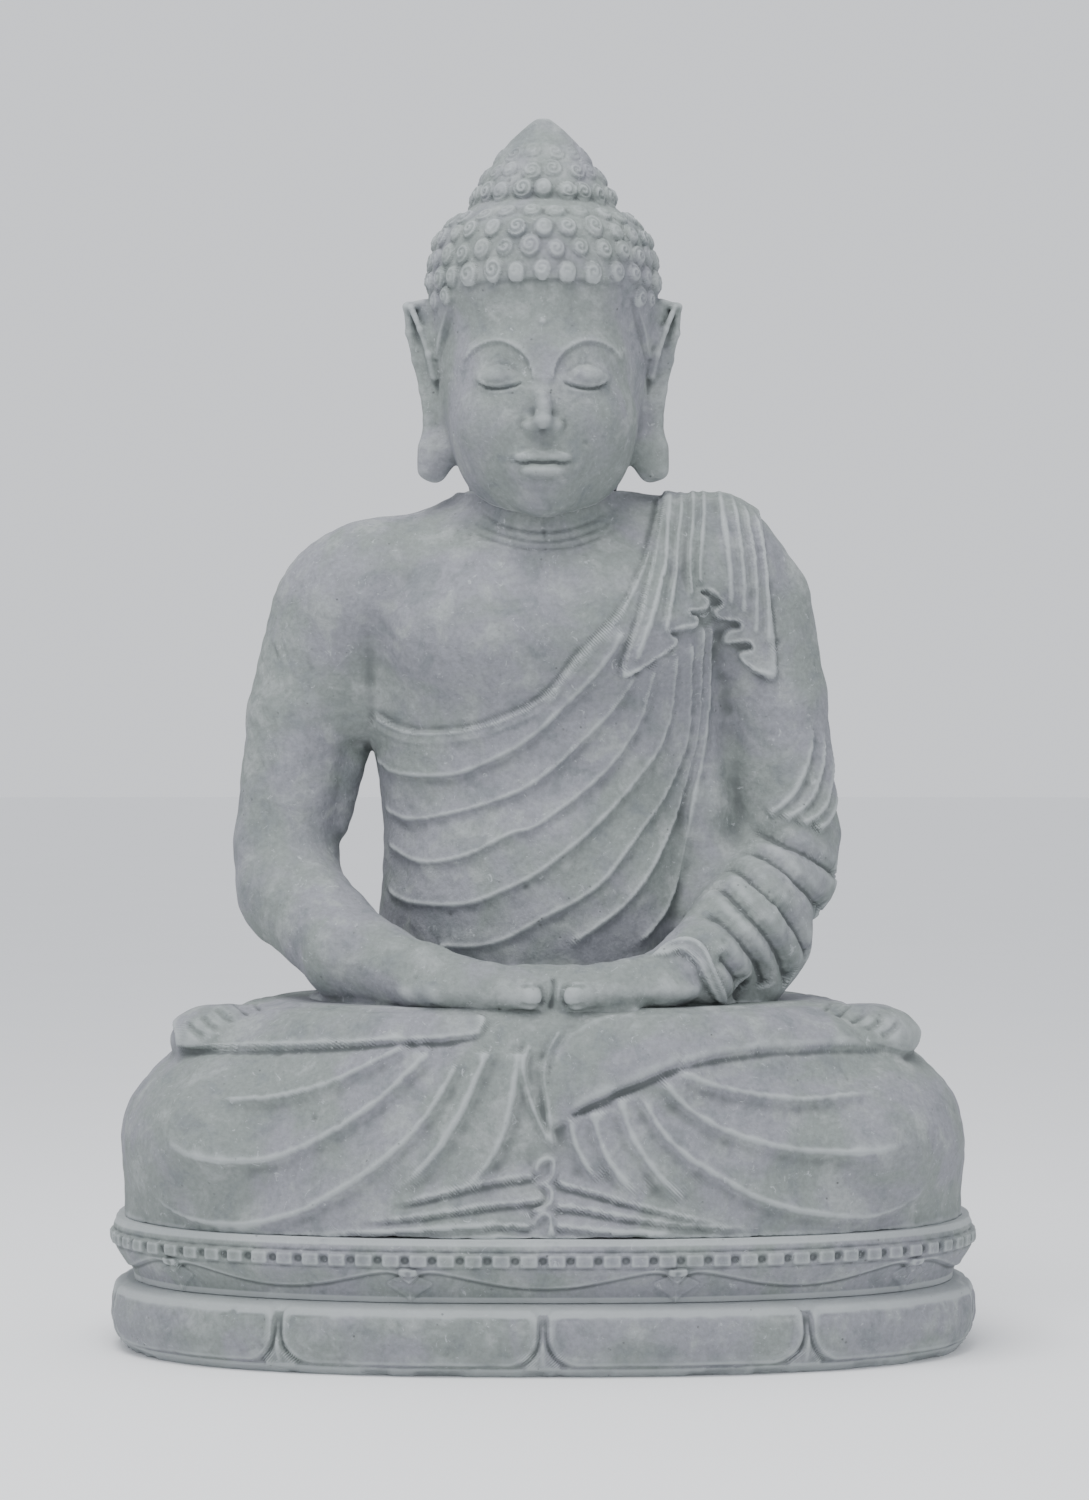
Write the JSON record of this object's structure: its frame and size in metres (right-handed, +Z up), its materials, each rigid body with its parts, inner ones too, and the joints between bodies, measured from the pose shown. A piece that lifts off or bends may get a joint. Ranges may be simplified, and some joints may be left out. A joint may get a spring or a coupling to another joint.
{
  "type": "buddha statue",
  "caption": "Seated stone meditation figure on a double lotus plinth, built as stacked, mortar-bedded and dowelled stone blocks that stand on a flat underside.",
  "frame": {"origin": "centre of the plinth's flat underside, on the ground", "axes": "+Z up through the crown, -Y the way the figure faces, +X to its left hand, which is on the right of a viewer in front"},
  "size_m": [1.054, 0.66, 1.5],
  "materials": {
    "stone": "honed, weathered grey stone with paler worn edges",
    "mortar": "matt lime and stone-dust mortar",
    "dowel_steel": "plain stainless bar"
  },
  "bodies": {
    "root": {"plinth_lower": "stone", "plinth_upper": "stone", "leg_block": "stone", "torso_block": "stone", "head_block": "stone", "plinth_mortar_bed": "mortar", "seat_mortar_bed": "mortar", "torso_mortar_bed": "mortar", "neck_mortar_bed": "mortar", "plinth_dowel_1": "dowel_steel", "plinth_dowel_2": "dowel_steel", "plinth_dowel_3": "dowel_steel", "plinth_dowel_4": "dowel_steel", "seat_dowel_1": "dowel_steel", "seat_dowel_2": "dowel_steel", "seat_dowel_3": "dowel_steel", "seat_dowel_4": "dowel_steel", "torso_dowel_1": "dowel_steel", "torso_dowel_2": "dowel_steel", "torso_dowel_3": "dowel_steel", "torso_dowel_4": "dowel_steel", "neck_dowel_1": "dowel_steel", "neck_dowel_2": "dowel_steel"}
  },
  "joints": []
}
